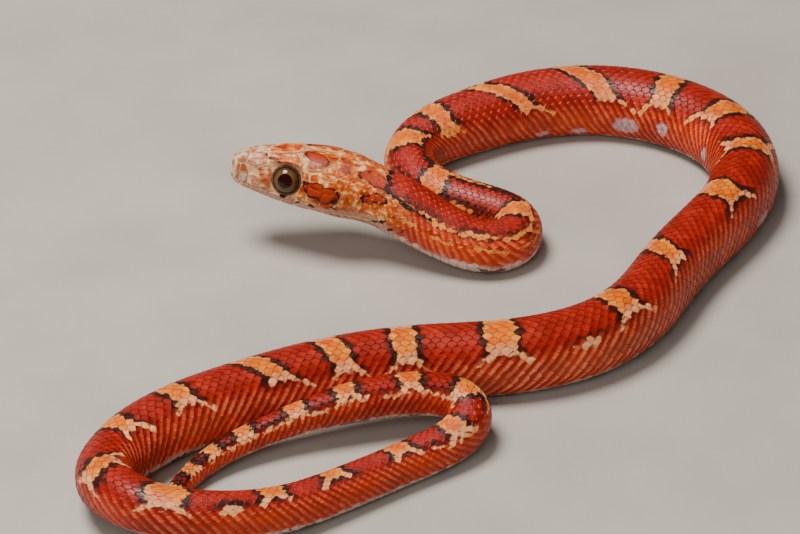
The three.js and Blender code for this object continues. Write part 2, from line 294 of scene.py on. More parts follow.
def eye_axis():
    tilt, turn = math.radians(EYE_TILT), math.radians(EYE_FORWARD_TURN)
    return np.array([math.sin(turn) * math.cos(tilt), math.cos(turn) * math.cos(tilt), math.sin(tilt)])


def mouth_turn(forward):
    """The angle from the top at which the mouth line lies."""
    s = -np.asarray(forward, float)
    height = keyed(MOUTH_KEYS, forward)
    half, _, low, _, power = section_sizes(s)
    down = np.clip(-height / np.maximum(low, 0.1), 0, 0.999)
    across = (1 - down**power) ** (1 / power)
    return math.pi - np.arctan2(across, down)


def shaped_head(s, turn, lift):
    """The head's own relief in millimetres: brow ridges, cheek, lips and the step at the mouth line."""
    forward = -s
    side = np.abs(turn)
    degrees_round = np.degrees(side)
    brow = 0.22 * hump(degrees_round, 47, 9) * smoothstep(7.4, 9.2, forward)
    brow *= 1 - smoothstep(12.6, 14.6, forward)
    dip = -0.28 * hump(degrees_round, 74, 13) * hump(forward, 13.9, 1.5)
    groove = -0.10 * hump(degrees_round, 0, 7) * hump(forward, 5.6, 2.6)
    cheek = 0.16 * hump(degrees_round, 97, 20) * hump(forward, 5.4, 2.4)
    mouth = mouth_turn(forward)
    below = (side - mouth) * 3.6
    inside = smoothstep(MOUTH_CORNER - 0.5, MOUTH_CORNER + 0.8, forward)
    lip = 0.13 * hump(below, -0.55, 0.5)
    step = -0.34 * smoothstep(-0.12, 0.12, below) * np.exp(-np.maximum(below, 0) / 1.1)
    line = -0.30 * hump(below, 0, 0.13)
    return lift + brow + dip + groove + cheek + (lip + step + line) * inside


def hug_eye(point, lift):
    """Moves head points near the eyes so that they meet the eye in a rim and pass behind it."""
    for mirror in (1, -1):
        flip = np.array([1, mirror, 1])
        near = point * flip
        along, off, axis = from_eye_axis(near)
        rim_height = math.sqrt(EYE_RADIUS**2 - EYE_RIM**2) + RIM_LIFT
        facing = (near[..., 1] > 0) & (along > -0.5)
        inside = facing & (off < EYE_RIM)
        hidden = np.sqrt(np.clip(EYE_RADIUS**2 - off**2, 0, None)) - SOCKET_BACK
        blend = 1 - smoothstep(EYE_RIM, EYE_RIM + SOCKET_REACH, off)
        raised = along + (rim_height + lift - along) * blend
        around = facing & (off >= EYE_RIM) & (off < EYE_RIM + SOCKET_REACH)
        wanted = np.where(inside, np.minimum(along, hidden), np.where(around, raised, along))
        near = near + (wanted - along)[..., None] * axis
        point = near * flip
    return point


def on_animal(s, turn, lift):
    """Points anywhere on the animal, with the head's relief and the eye sockets, in millimetres."""
    s, turn, lift = np.broadcast_arrays(*(np.asarray(part, float) for part in (s, turn, lift)))
    turn = wrapped(turn)
    headward = smoothstep(0.5, -2.5, s) * smoothstep(-HEAD_LENGTH, -HEAD_LENGTH + 1.2, s)
    relief = (shaped_head(np.minimum(s, 0), turn, lift) - lift) * headward
    world = surface(s, turn, lift + relief)
    near_eye = (s < -5.5) & (s > -15.5)
    if near_eye.any():
        local = hug_eye(head_coordinates(world[near_eye]), lift[near_eye])
        world[near_eye] = head_to_world(local)
    return world


# Markings. Each bar of ground colour across the back is [distance, side of the middle in degrees,
# half length, lean in mm for each 10 degrees, then how far its forks reach, from 0 to 1: left behind,
# left ahead, right behind, right ahead, where ahead is towards the head]
BARS = [[21.9, 6, 1.5, 0.0, 0.3, 0.6, 0.4, 0.4], [35.1, -10, 1.5, 0.1, 0.5, 0.9, 0.6, 0.6],
        [44.8, -14, 1.5, 0.0, 0.6, 0.4, 0.5, 0.7], [50.9, 4, 1.2, 0.0, 0.7, 0.5, 0.4, 0.8],
        [61.0, 4, 1.3, 0.75, 0.6, 0.3, 0.8, 0.5], [73.4, 0, 1.8, 0.8, 0.9, 0.2, 0.5, 0.7],
        [84.9, 0, 1.5, 0.05, 0.6, 0.9, 0.6, 0.6], [94.4, -4, 1.5, -0.1, 0.6, 0.9, 0.5, 0.5],
        [103.0, -2, 1.1, 0.0, 0.9, 0.4, 1.0, 0.6], [114.6, 14, 1.9, -0.15, 0.7, 0.5, 1.0, 1.0],
        [130.4, 8, 1.4, -0.35, 0.5, 0.5, 0.9, 0.4], [143.6, 2, 1.6, 0.0, 0.6, 0.6, 0.7, 0.8],
        [159.5, 0, 1.8, 0.0, 0.7, 0.5, 0.8, 0.8], [170.8, 2, 1.4, 0.0, 0.5, 0.6, 0.9, 0.9],
        [179.2, 0, 1.3, 0.2, 0.4, 0.6, 0.5, 1.0], [188.6, 4, 1.4, 0.45, 0.5, 0.5, 0.4, 1.0],
        [199.2, 2, 1.2, 0.1, 0.6, 0.4, 0.7, 0.9], [207.0, 4, 1.0, 0.0, 0.5, 0.8, 0.5, 0.9],
        [216.0, 4, 1.0, 0.1, 0.9, 0.7, 0.7, 0.8], [224.4, 0, 1.9, 0.0, 0.8, 0.8, 0.6, 0.5],
        [236.1, -12, 1.5, 0.0, 0.7, 0.8, 0.5, 0.7], [244.3, -18, 1.3, 0.0, 0.8, 0.9, 0.6, 0.6],
        [253.0, -10, 1.3, 0.1, 0.9, 0.8, 0.7, 0.5], [260.7, 4, 1.2, 0.0, 0.6, 0.8, 0.7, 0.9],
        [267.0, -4, 1.1, 0.0, 0.7, 0.6, 1.0, 1.0], [273.6, 0, 1.1, 0.0, 0.8, 0.8, 1.0, 1.0],
        [281.0, 2, 1.1, 0.0, 0.6, 0.6, 0.9, 0.8], [287.0, -2, 1.0, 0.0, 0.7, 0.7, 0.8, 0.8],
        [293.4, 0, 0.9, 0.0, 0.8, 0.8, 0.8, 0.8], [297.8, 0, 0.7, 0.0, 0.6, 0.6, 0.6, 0.6],
        [301.4, 0, 0.7, 0.0, 0.5, 0.5, 0.5, 0.5], [305.2, 0, 0.6, 0.0, 0.4, 0.4, 0.4, 0.4],
        [308.8, 0, 0.6, 0.0, 0.3, 0.3, 0.3, 0.3], [312.4, 0, 0.6, 0.0, 0.2, 0.2, 0.2, 0.2]]
# Bars end and their forks start at these angles from the middle, and forks spread apart beyond it
BAR_EDGE = 44
FORK_START = 33
FORK_SPREAD = 0.085
# Pale lines along the sides as [degrees from the middle of the back, half width in mm, start, end]
SIDE_LINES = [[57, 0.3, 2.4, 20.5], [86, 0.14, 2.4, 20.5], [55, 0.15, 257, 296]]
# Small patches of ground colour low on the sides as [distance, degrees, half length, half height in mm]
SIDE_PATCHES = [[32.6, -50, 3.4, 0.36], [32.2, 34, 3.2, 0.34], [50.9, 49, 1.5, 0.7], [127, 52, 0.9, 0.5],
                [150, -54, 1.2, 0.5], [231, 50, 1.0, 0.5]]
# Pale lilac patches near the belly in the same terms
LILAC_PATCHES = [[79.8, 84, 2.3, 1.1], [86.4, 78, 1.1, 0.9], [97.7, 92, 1.0, 0.9], [72, 100, 1.6, 0.7],
                 [66, 98, 1.3, 0.6], [112, -96, 1.5, 0.7], [140, 98, 1.6, 0.8], [168, 102, 1.4, 0.7],
                 [186, 96, 1.6, 0.8], [232, -100, 1.2, 0.6], [92, -98, 1.5, 0.8], [122, 104, 1.4, 0.8]]
# Dark-edged red marks on the head as [forward, degrees from the top, half length, half width in mm, slant]
HEAD_MARKS = [[7.15, 22, 1.85, 0.72, 20], [5.9, 82, 2.5, 0.74, 7], [-0.3, 36, 2.1, 0.95, 4],
              [-0.8, 71, 1.8, 0.62, -28], [12.4, 40, 1.0, 0.26, 31]]
# Small black marks on the head in the same terms
BLACK_MARKS = [[13.65, 27, 0.42, 0.18, 70], [10.6, 104, 0.42, 0.35, 0], [8.6, 109, 0.5, 0.22, -40],
               [6.85, 107, 0.5, 0.2, -20], [4.1, 100, 0.5, 0.18, 10], [-2.0, 34, 0.9, 0.24, -62],
               [-4.2, 50, 1.5, 0.2, 0], [-2.6, 100, 0.9, 0.22, -50], [-4.0, 108, 0.9, 0.2, -50],
               [-5.4, 98, 0.8, 0.18, -50], [-1.2, 112, 0.7, 0.16, -45]]


def roll_at(s):
    return np.radians(keyed(ROLL_KEYS, s))


def blotch(x, y, half_x, half_y, power):
    """Distance inside a squared oval, in the units of its sizes; negative outside."""
    rho = (np.abs(x / half_x) ** power + np.abs(y / half_y) ** power) ** (1 / power)
    return (1 - rho) * np.minimum(half_x, half_y)


def from_back(s, turn):
    """Degrees round the body from the middle of the back, positive on the animal's left."""
    return np.degrees(wrapped(turn - roll_at(s)))


def bar_field(s, turn):
    """Distance in millimetres inside the nearest patch of ground colour; negative in the red."""
    angle = from_back(s, turn)
    radius = body_radius(s)
    reach = np.radians(1) * radius
    field = np.full(s.shape, -9.0)
    for place, middle, half, lean, left_behind, left_ahead, right_behind, right_ahead in BARS:
        off = angle - middle
        round_back = np.abs(off)
        x = s - place - lean * off / 10
        upper = half * (1.08 - 0.30 * np.clip(round_back / 40, 0, 1)) - np.abs(x)
        field = np.maximum(field, np.minimum(upper, (BAR_EDGE - round_back) * reach))
        spread = FORK_SPREAD * radius / THICK_RADIUS
        for sign, on_left, on_right in ((1, left_behind, right_behind), (-1, left_ahead, right_ahead)):
            strength = np.where(off > 0, on_left, on_right)
            centre = sign * (0.35 * half + (round_back - FORK_START) * spread)
            thick = 0.6 - 0.012 * (round_back - FORK_START)
            fork = (thick - np.abs(x - centre)) * 0.85
            fork = np.minimum(fork, (BAR_EDGE - 4 + 24 * strength - round_back) * reach)
            field = np.maximum(field, np.minimum(fork, (round_back - FORK_START + 4) * reach))
    for degrees, half, start, end in SIDE_LINES:
        line = half - np.abs(np.abs(angle) - degrees - 3 * np.sin(s * 0.8)) * reach
        line = line - 0.22 * (np.sin(s * 1.3 + degrees) > 0.55)
        field = np.maximum(field, np.minimum(line, np.minimum(s - start, end - s)))
    field = np.maximum(field, ovals(s, angle, reach, SIDE_PATCHES))
    jagged = 0.13 * np.sin(s * 4.3 + angle * 0.21) + 0.10 * np.sin(s * 2.2 - angle * 0.37)
    return np.where(s < 2.2, -9.0, field + np.where(field > -2, jagged, 0))


def ovals(s, angle, reach, patches):
    field = np.full(s.shape, -9.0)
    for place, degrees, half_length, half_height in patches:
        field = np.maximum(field, blotch(s - place, (angle - degrees) * reach, half_length, half_height, 2))
    return field


def head_field(s, turn, marks):
    """Distance in millimetres inside the nearest mark on the head."""
    field = np.full(s.shape, -9.0)
    around = np.degrees(wrapped(turn))
    for ahead, degrees, half_length, half_width, slant in marks:
        across = (np.abs(around) - degrees) * math.radians(MARK_RADIUS)
        forward = -s - ahead
        cosine, sine = math.cos(math.radians(slant)), math.sin(math.radians(slant))
        x = forward * cosine - across * sine
        y = forward * sine + across * cosine + 0.10 * np.sin(forward * 3.1 + degrees)
        field = np.maximum(field, blotch(x, y, half_length, half_width, 2.3))
    return np.where(s < 9, field, -9.0)


def unwrap(s, turn):
    """Place on the skin's unwrap: the long body folded into strips that lie side by side."""
    total = SPINE.length + HEAD_LENGTH
    run = np.clip((s + HEAD_LENGTH) / total, 0, 0.99999) * UNWRAP_STRIPS
    strip = np.floor(run)
    round_body = ((turn + math.pi) % (2 * math.pi)) / (2 * math.pi)
    return np.stack([0.02 + 0.96 * (run - strip), (strip + 0.06 + 0.88 * round_body) / UNWRAP_STRIPS], -1)


def build_mesh(name, points, faces, point_uv, floats=None):
    """A mesh object from points in millimetres and faces of equal length, or a list of such face arrays."""
    groups = faces if isinstance(faces, list) else [faces]
    mesh = bpy.data.meshes.new(name)
    counts = np.concatenate([np.full(len(g), g.shape[1]) for g in groups])
    loops = np.concatenate([g.ravel() for g in groups])
    mesh.vertices.add(len(points))
    mesh.vertices.foreach_set("co", (np.asarray(points) * MM).astype(np.float32).ravel())
    mesh.loops.add(len(loops))
    mesh.loops.foreach_set("vertex_index", loops.astype(np.int32))
    mesh.polygons.add(len(counts))
    starts = np.concatenate([[0], np.cumsum(counts)[:-1]])
    mesh.polygons.foreach_set("loop_start", starts.astype(np.int32))
    mesh.polygons.foreach_set("loop_total", counts.astype(np.int32))
    mesh.polygons.foreach_set("use_smooth", np.full(len(counts), True))
    layer = mesh.uv_layers.new(name="OFBake")
    layer.data.foreach_set("uv", point_uv[loops].astype(np.float32).ravel())
    for key, values in (floats or {}).items():
        attribute = mesh.attributes.new(key, "FLOAT", "POINT")
        attribute.data.foreach_set("value", np.asarray(values, np.float32))
    mesh.update()
    mesh.validate()
    piece = bpy.data.objects.new(name, mesh)
    bpy.context.scene.collection.objects.link(piece)
    return piece


def grid_faces(rows, columns, closed=False, looped=False):
    """Quads of a grid of points. Closed joins its last column to its first; looped, its last row."""
    across = columns if closed else columns - 1
    along = rows if looped else rows - 1
    i, j = (index.ravel() for index in np.meshgrid(np.arange(along), np.arange(across), indexing="ij"))
    a, b = (i + 1) % rows, (j + 1) % columns
    return np.stack([i * columns + j, i * columns + b, a * columns + b, a * columns + j], 1)


def shell_faces(rows, columns):
    """Faces of a closed shell: a grid of points, the same grid under it, and a wall round their edges."""
    size = rows * columns
    grid = grid_faces(rows, columns)
    index = np.arange(size).reshape(rows, columns)
    ring = np.concatenate([index[0], index[1:, -1], index[-1, -2::-1], index[-2:0:-1, 0]])
    following = np.roll(ring, -1)
    wall = np.stack([ring, following, following + size, ring + size], 1)
    return np.vstack([grid[:, ::-1], wall[:, ::-1], grid + size])


def skin_piece():
    """The skin: one closed sleeve from the nose to the tip of the tail, under the coat."""
    columns = 180
    # Rows stand closer towards the tip of the nose, and further apart along the body
    nose = np.linspace(0, 1, 34) ** 1.8 * 3.2
    head = np.concatenate([-HEAD_LENGTH + nose, np.arange(-HEAD_LENGTH + 3.3, 0, 0.13)])
    body = np.concatenate([np.arange(0, SPINE.length - 2, 1.0), SPINE.length - np.linspace(2, 0, 8)])
    s = np.concatenate([head, body])
    turn = np.linspace(-math.pi, math.pi, columns, endpoint=False)
    s_grid, turn_grid = np.meshgrid(s, turn, indexing="ij")
    points = on_animal(s_grid, turn_grid, -COAT_DEPTH)
    rows = len(s)
    flat = points.reshape(-1, 3)
    faces = grid_faces(rows, columns, closed=True)
    poles = np.stack([points[0].mean(0), points[-1].mean(0)])
    flat = np.vstack([flat, poles])
    first = np.arange(columns)
    following = (first + 1) % columns
    last = (rows - 1) * columns
    nose_fan = np.stack([np.full(columns, rows * columns), following, first], 1)
    tail_fan = np.stack([np.full(columns, rows * columns + 1), last + first, last + following], 1)
    s_all = np.append(s_grid.ravel(), [-HEAD_LENGTH, SPINE.length])
    turn_all = np.append(turn_grid.ravel(), [0, 0])
    floats = mark_floats(s_all, turn_all, crosswise=1, diagonal=1, light=0.5)
    return build_mesh("skin", flat, [faces, nose_fan, tail_fan], unwrap(s_all, turn_all), floats)


def mark_floats(s, turn, **others):
    """The markings at points and the points' places; others are one value, or one for each point."""
    angle = from_back(s, turn)
    reach = np.radians(1) * body_radius(s)
    floats = {"bar": bar_field(s, turn), "spot": head_field(s, turn, HEAD_MARKS),
              "black": head_field(s, turn, BLACK_MARKS), "lilac": ovals(s, angle, reach, LILAC_PATCHES),
              "flank": np.abs(angle) / 180, "station": s,
              "around": np.abs(wrapped(turn)) / math.pi}
    floats.update((key, np.zeros(s.shape) + value) for key, value in others.items())
    return floats


def scale_rows():
    """Roots of the small scales: distance, angle, row spacing in radians, length and keel, row by row."""
    roots = []
    for start, end, count in ROWS:
        for row in range(count):
            share = (row - (count - 1) / 2) / ((count - 1) / 2)
            angle = math.radians(VENTRAL_EDGE - 4) * share
            spacing = math.radians(2 * (VENTRAL_EDGE - 4) / (count - 1))
            s = start + (row % 2) * 0.5 * float(keyed(PITCH_KEYS, start))
            while s < end:
                pitch = float(keyed(PITCH_KEYS, s))
                roots.append([s, angle, spacing, pitch, 1 - abs(share), row])
                s += pitch
    return np.array(roots)


# Small scales: a root sunk under the one before it, and a thickness that is double at the root
ROOT_DEPTH = 0.08
PLATE_THICKNESS = 0.05
# Share of a point's own place in its markings; the rest is its scale's middle, so edges follow the scales
MARK_BLEND = 0.6
# A streak runs across the scales on a slant, rising forwards to the back
STREAK_SLOPE = 2.6
STREAK_WIDTH = 0.86
# Half width of a scale at shares of its length
OUTLINE = [[0, 0.42], [0.18, 0.74], [0.42, 0.98], [0.6, 0.96], [0.76, 0.76], [0.88, 0.5], [0.96, 0.26],
           [1, 0.09]]
BELLY_OUTLINE = [[0, 0.97], [0.5, 1.0], [0.85, 0.98], [1, 0.9]]
# The groups of small scales meet at these distances, and under the head they end at this angle
COAT_CUTS = [-7, 30, 75, 115, 155, 195, 226, 258, 320]
THROAT_EDGE = 118
# Sizes of a plate as shares of the spacing of rows and the pitch along them, and its relief
SCALE_HALF_WIDTH = 0.93
SCALE_OVERLAP = 1.34
SCALE_RISE = 0.036
SCALE_DOME = 0.022
SCALE_KEEL = 0.016
KEEL_START = 20
BELLY_OVERLAP = 1.22
BELLY_RISE = 0.03


def plates(name, roots, half_turn, length, rise, dome, keel, across=5, steps=7, outline=OUTLINE):
    """Overlapping plates as closed shells, with roots at [distance, angle]. Sizes are for one or for all."""
    count = len(roots)
    sizes = (half_turn, length, rise, dome, keel)
    half_turn, length, rise, dome, keel = (np.zeros(count) + size for size in sizes)
    u = np.linspace(-1, 1, across)
    v = 1 - (1 - np.linspace(0, 1, steps)) ** 1.25
    grid_u, grid_v = np.meshgrid(u, v, indexing="xy")
    grid_u, grid_v = grid_u.ravel(), grid_v.ravel()
    width = np.interp(grid_v, *np.transpose(outline))
    jitter = random.normal(0, 1, (count, 3))
    s = roots[:, :1] + grid_v * (length * (1 + 0.04 * jitter[:, 0]))[:, None]
    turn = roots[:, 1:2] + grid_u * width * half_turn[:, None] + 0.03 * (jitter[:, 1] * half_turn)[:, None]
    profile = -ROOT_DEPTH + (rise[:, None] + ROOT_DEPTH) * grid_v**0.7
    profile = profile + dome[:, None] * (1 - grid_u**2) * np.sin(np.pi * np.clip(grid_v, 0.02, 0.98)) ** 0.6
    profile = profile + keel[:, None] * np.exp(-(grid_u * 3.2) ** 2) * np.sin(np.pi * grid_v)
    top = on_animal(s, turn, profile)
    under = on_animal(s, turn, profile - PLATE_THICKNESS * (2 - grid_v))
    size = across * steps
    offset = (np.arange(count) * 2 * size)[:, None, None]
    faces = (shell_faces(steps, across)[None] + offset).reshape(-1, 4)
    points = np.concatenate([top, under], 1).reshape(-1, 3)
    centre_s = roots[:, :1] + 0.55 * length[:, None]
    s_mark = centre_s * (1 - MARK_BLEND) + np.tile(s, (1, 2)) * MARK_BLEND
    turn_mark = roots[:, 1:2] * (1 - MARK_BLEND) + np.tile(turn, (1, 2)) * MARK_BLEND
    backwards = -np.sign(from_back(roots[:, 0], roots[:, 1]))[:, None]
    diagonal = STREAK_SLOPE * (grid_v - 0.45) + STREAK_WIDTH * grid_u * width * backwards
    floats = mark_floats(s_mark.ravel(), turn_mark.ravel(), crosswise=np.tile(np.abs(grid_u), 2 * count),
                         diagonal=np.tile(np.abs(diagonal), (1, 2)).ravel(),
                         light=np.repeat(random.random(count), 2 * size))
    home = unwrap(roots[:, 0], roots[:, 1])
    patch = np.stack([grid_v, grid_u / 2], -1) * BAKE_PATCH
    uv = (home[:, None, :] + np.tile(patch, (2, 1))[None]).reshape(-1, 2)
    return build_mesh(name, points, faces, uv, floats)


def coat_pieces():
    """The small scales in groups along the body, and the wide plates of the belly."""
    pieces = []
    roots = scale_rows()
    roots = roots[(roots[:, 0] >= 0) | (np.abs(np.degrees(roots[:, 1])) <= THROAT_EDGE)]
    roots[:, 1] += roll_at(roots[:, 0]) * smoothstep(-4, 2, roots[:, 0])
    for low, high in zip(COAT_CUTS, COAT_CUTS[1:]):
        here = roots[(roots[:, 0] >= low) & (roots[:, 0] < high)]
        pitch, spacing = here[:, 3], here[:, 2]
        size = body_radius(here[:, 0]) / THICK_RADIUS
        keel = SCALE_KEEL * size * here[:, 4] * (here[:, 0] > KEEL_START)
        pieces.append(plates(f"scales_{len(pieces) + 1}", here[:, :2], spacing * SCALE_HALF_WIDTH,
                             pitch * SCALE_OVERLAP, SCALE_RISE * size**0.5, SCALE_DOME * size, keel))
    rows = []
    s = 2.0
    while s < SPINE.length - 1.5:
        pitch = float(keyed(PITCH_KEYS, s))
        rows.append([s, math.pi, pitch])
        s += pitch
    rows = np.array(rows)
    rows[:, 1] += roll_at(rows[:, 0])
    pieces.append(plates("belly_plates", rows[:, :2], math.radians(180 - VENTRAL_EDGE + 3),
                         rows[:, 2] * BELLY_OVERLAP, BELLY_RISE, 0, 0, across=25, steps=5,
                         outline=BELLY_OUTLINE))
    return pieces


# The head's finish ends here, where both finishes look alike
NECK_JOIN = 8

# Head shields as corners of [forward, degrees from the top]; each is mirrored to the other side
PAIRED_SHIELDS = {
    "internasal": [[17.45, 1], [17.4, 30], [17.1, 50], [16.1, 52], [15.85, 28], [15.9, 1]],
    "prefrontal": [[15.8, 1], [15.75, 28], [16.0, 52], [14.6, 60], [13.3, 50], [13.45, 23], [13.75, 1]],
    "supraocular": [[13.2, 23], [13.05, 46], [12.0, 51], [10.4, 49], [8.9, 52], [8.6, 40], [9.7, 17],
                    [11.4, 21]],
    "parietal": [[9.0, 1], [9.6, 15], [8.5, 40], [7.9, 53], [6.0, 48], [4.6, 30], [4.2, 12], [4.7, 1]],
    "nasal_front": [[17.5, 52], [17.45, 104], [16.75, 106], [16.7, 54]],
    "nasal_rear": [[16.6, 54], [16.65, 106], [15.6, 106], [15.5, 78], [16.0, 54]],
    "loreal": [[15.35, 80], [15.5, 105], [14.1, 104], [13.9, 82]],
    "preocular": [[14.4, 62], [14.1, 79], [13.8, 102], [12.5, 100], [12.3, 76], [12.8, 54], [13.3, 51]],
    "upper_postocular": [[8.7, 54], [8.55, 76], [7.6, 76], [7.75, 56]],
    "lower_postocular": [[8.55, 78], [8.9, 99], [7.8, 101], [7.6, 78]],
    "upper_front_temporal": [[7.5, 57], [7.45, 77], [5.7, 80], [5.4, 62], [6.0, 51]],
    "lower_front_temporal": [[7.45, 79], [7.6, 99], [6.2, 102], [5.6, 83]],
    "upper_rear_temporal": [[5.9, 50], [5.2, 62], [4.2, 60], [4.5, 38]],
    "middle_rear_temporal": [[5.2, 64], [5.5, 81], [4.2, 83], [4.0, 63]],
    "lower_rear_temporal": [[5.5, 84], [6.0, 102], [4.5, 106], [4.1, 85]],
    "front_chin_shield": [[16.7, 179], [16.3, 160], [14.6, 151], [12.3, 152], [12.1, 179]],
    "rear_chin_shield": [[11.9, 178], [12.0, 154], [9.4, 150], [8.3, 160], [8.8, 172]],
}
FRONTAL = [[13.6, 0], [13.3, 20], [11.4, 19], [9.6, 14], [9.0, 0], [9.6, -14], [11.4, -19], [13.3, -20]]
UPPER_LIP = [17.55, 16.5, 15.2, 13.9, 12.6, 10.9, 9.1, 7.1, 5.0]
UPPER_LIP_TOP = [108, 108, 107, 106, 104, 103, 102, 103, 107]
LOWER_LIP = [17.4, 16.9, 15.8, 14.6, 13.3, 12.0, 10.4, 8.7, 7.1, 5.7, 4.6]
LOWER_LIP_END = [156, 157, 158, 150, 149, 150, 151, 149, 147, 144, 140]
SHIELD_GAP = 0.025
OUTLINE_POINTS = 48
# Lip shields end this many degrees above and below the mouth line, which they leave at its corner
UPPER_LIP_GAP = 1
LOWER_LIP_GAP = 3
UPPER_LIP_CORNER = 5.2
LOWER_LIP_CORNER = 4.8
# A shield stands this high, and its middle this much more for each millimetre of its half width
SHIELD_LIFT = 0.05
SHIELD_DOME = 0.05


def shield_outline(corners):
    """A rounded outline in (forward, mm round the head), drawn in by the gap between shields."""
    points = np.array([[f, math.radians(a) * SHIELD_RADIUS] for f, a in corners])
    for cut in (0.10, 0.22):
        following = np.roll(points, -1, axis=0)
        points = np.stack([points * (1 - cut) + following * cut, points * cut + following * (1 - cut)], 1)
        points = points.reshape(-1, 2)
    edge = np.roll(points, -1, axis=0) - np.roll(points, 1, axis=0)
    area = np.sum(points[:, 0] * np.roll(points[:, 1], -1) - np.roll(points[:, 0], -1) * points[:, 1])
    normal = unit(np.stack([-edge[:, 1], edge[:, 0]], 1)) * (1 if area > 0 else -1)
    points = points + normal * SHIELD_GAP
    closed = np.vstack([points, points[:1]])
    run = np.concatenate([[0], np.cumsum(np.linalg.norm(np.diff(closed, axis=0), axis=1))])
    at = np.linspace(0, run[-1], OUTLINE_POINTS + 1)[:-1]
    outline = np.stack([np.interp(at, run, closed[:, 0]), np.interp(at, run, closed[:, 1])], 1)
    return outline if area > 0 else outline[::-1]


# Rings of a shield as shares of the way out, and how far each drops in lengths of the edge's depth
RINGS = [0.12, 0.28, 0.44, 0.6, 0.74, 0.86, 0.94, 0.985, 1.0, 1.0]
RING_DROP = [0, 0, 0.01, 0.03, 0.07, 0.16, 0.32, 0.6, 0.85, 2.6]
EDGE_DEPTH = 0.085


def lip_shields(side):
    """Corners of the shields along the upper and lower lip of one side."""
    shields = []
    for i, (front, back) in enumerate(zip(UPPER_LIP, UPPER_LIP[1:])):
        ends = [math.degrees(mouth_turn(f)) - UPPER_LIP_GAP for f in (front, max(back, UPPER_LIP_CORNER))]
        shields.append([[front - 0.05, UPPER_LIP_TOP[i]], [front, ends[0]], [back, ends[1]],
                        [back - 0.05, UPPER_LIP_TOP[i + 1]]])
    for i, (front, back) in enumerate(zip(LOWER_LIP, LOWER_LIP[1:])):
        ends = [math.degrees(mouth_turn(f)) + LOWER_LIP_GAP for f in (front, max(back, LOWER_LIP_CORNER))]
        shields.append([[front, ends[0]], [front - 0.2, LOWER_LIP_END[i]],
                        [back - 0.2, LOWER_LIP_END[i + 1]], [back, ends[1]]])
    return [mirrored(corners, side) for corners in shields]


def mirrored(corners, side):
    return [[forward, degrees * side] for forward, degrees in corners]


def shield_cap(corners):
    """One shield as a closed cap: points, faces, places on the head, shares of the way out, and unwrap."""
    outline = shield_outline(corners)
    centre = outline.mean(0)
    count = len(outline)
    height = SHIELD_LIFT + SHIELD_DOME * min(np.linalg.norm(outline - centre, axis=1).min(), 1.2)
    rings = centre + (outline - centre) * np.array(RINGS)[:, None, None]
    places = np.vstack([centre, rings.reshape(-1, 2), centre])
    lifts = np.append(height, np.repeat(height - np.array(RING_DROP) * EDGE_DEPTH, count))
    spread = np.concatenate([[0], np.repeat(RINGS, count), [0]])
    s, turn = -places[:, 0], places[:, 1] / SHIELD_RADIUS
    points = on_animal(s[:-1], turn[:-1], lifts)
    points = np.vstack([points, points[-count:].mean(0)])
    first = np.arange(count)
    following = (first + 1) % count
    fan = np.stack([np.zeros(count, int), 1 + first, 1 + following, 1 + following], 1)
    quads = []
    for ring in range(len(RINGS) - 1):
        inner, outer = 1 + ring * count, 1 + (ring + 1) * count
        quads.append(np.stack([inner + first, outer + first, outer + following, inner + following], 1))
    floor, base = len(points) - 1 - count, len(points) - 1
    under = np.stack([np.full(count, base), floor + following, floor + first, floor + first], 1)
    patch = (places - centre) * BAKE_PATCH / 2 / max(np.abs(outline - centre).max(), 0.1)
    return points, np.vstack([fan, *quads, under]), s, turn, spread, unwrap(s[:1], turn[:1]) + patch


def head_shields():
    """Every shield of the head as joined closed caps."""
    outlines = [mirrored(corners, side) for corners in PAIRED_SHIELDS.values() for side in (1, -1)]
    outlines += [FRONTAL, *lip_shields(1), *lip_shields(-1)]
    caps = [shield_cap(corners) for corners in outlines]
    light = np.concatenate([np.full(len(cap[0]), random.random()) for cap in caps])
    offsets = np.cumsum([0] + [len(cap[0]) for cap in caps])
    faces = np.vstack([cap[1] + offset for cap, offset in zip(caps, offsets)])
    fans = faces[:, 2] == faces[:, 3]
    points, s, turn, spread, uv = (np.concatenate([cap[k] for cap in caps]) for k in (0, 2, 3, 4, 5))
    floats = mark_floats(s, turn, crosswise=spread, light=light)
    return build_mesh("head_shields", points, [faces[~fans], faces[fans][:, :3]], uv, floats)


# The end plates as [name, angle from, angle to, back and front in millimetres ahead of the nape]
NOSE_PLATES = [["snout_plate", -122, 122, 17.56, 18.06], ["chin_plate", 137, 223, 17.5, 18.04]]


def nose_shields():
    """The plate over the tip of the snout, and the one at the tip of the chin."""
    pieces = []
    rows, columns = 10, 49
    for name, low, high, back, front in NOSE_PLATES:
        f = back + (front - back) * np.sin(np.linspace(0, 1, rows) * math.pi / 2)
        f_grid, a_grid = np.meshgrid(f, np.radians(np.linspace(low, high, columns)), indexing="ij")
        edge = np.minimum(np.arange(columns), np.arange(columns)[::-1])[None] / 4
        rim = np.minimum(np.clip(edge, 0, 1), np.clip(np.arange(rows)[:, None] / 2, 0, 1))
        lift = -0.10 + 0.19 * np.sqrt(rim)
        top = on_animal(-f_grid, a_grid, lift).reshape(-1, 3)
        below = on_animal(-f_grid, a_grid, np.full(f_grid.shape, -0.2)).reshape(-1, 3)
        faces = shell_faces(rows, columns)
        s_all, turn_all = np.tile(-f_grid.ravel(), 2), np.tile(a_grid.ravel(), 2)
        floats = mark_floats(s_all, turn_all, crosswise=np.tile(1 - rim.ravel(), 2), light=0.5)
        pieces.append(build_mesh(name, np.vstack([top, below]), faces, unwrap(s_all, turn_all), floats))
    return pieces


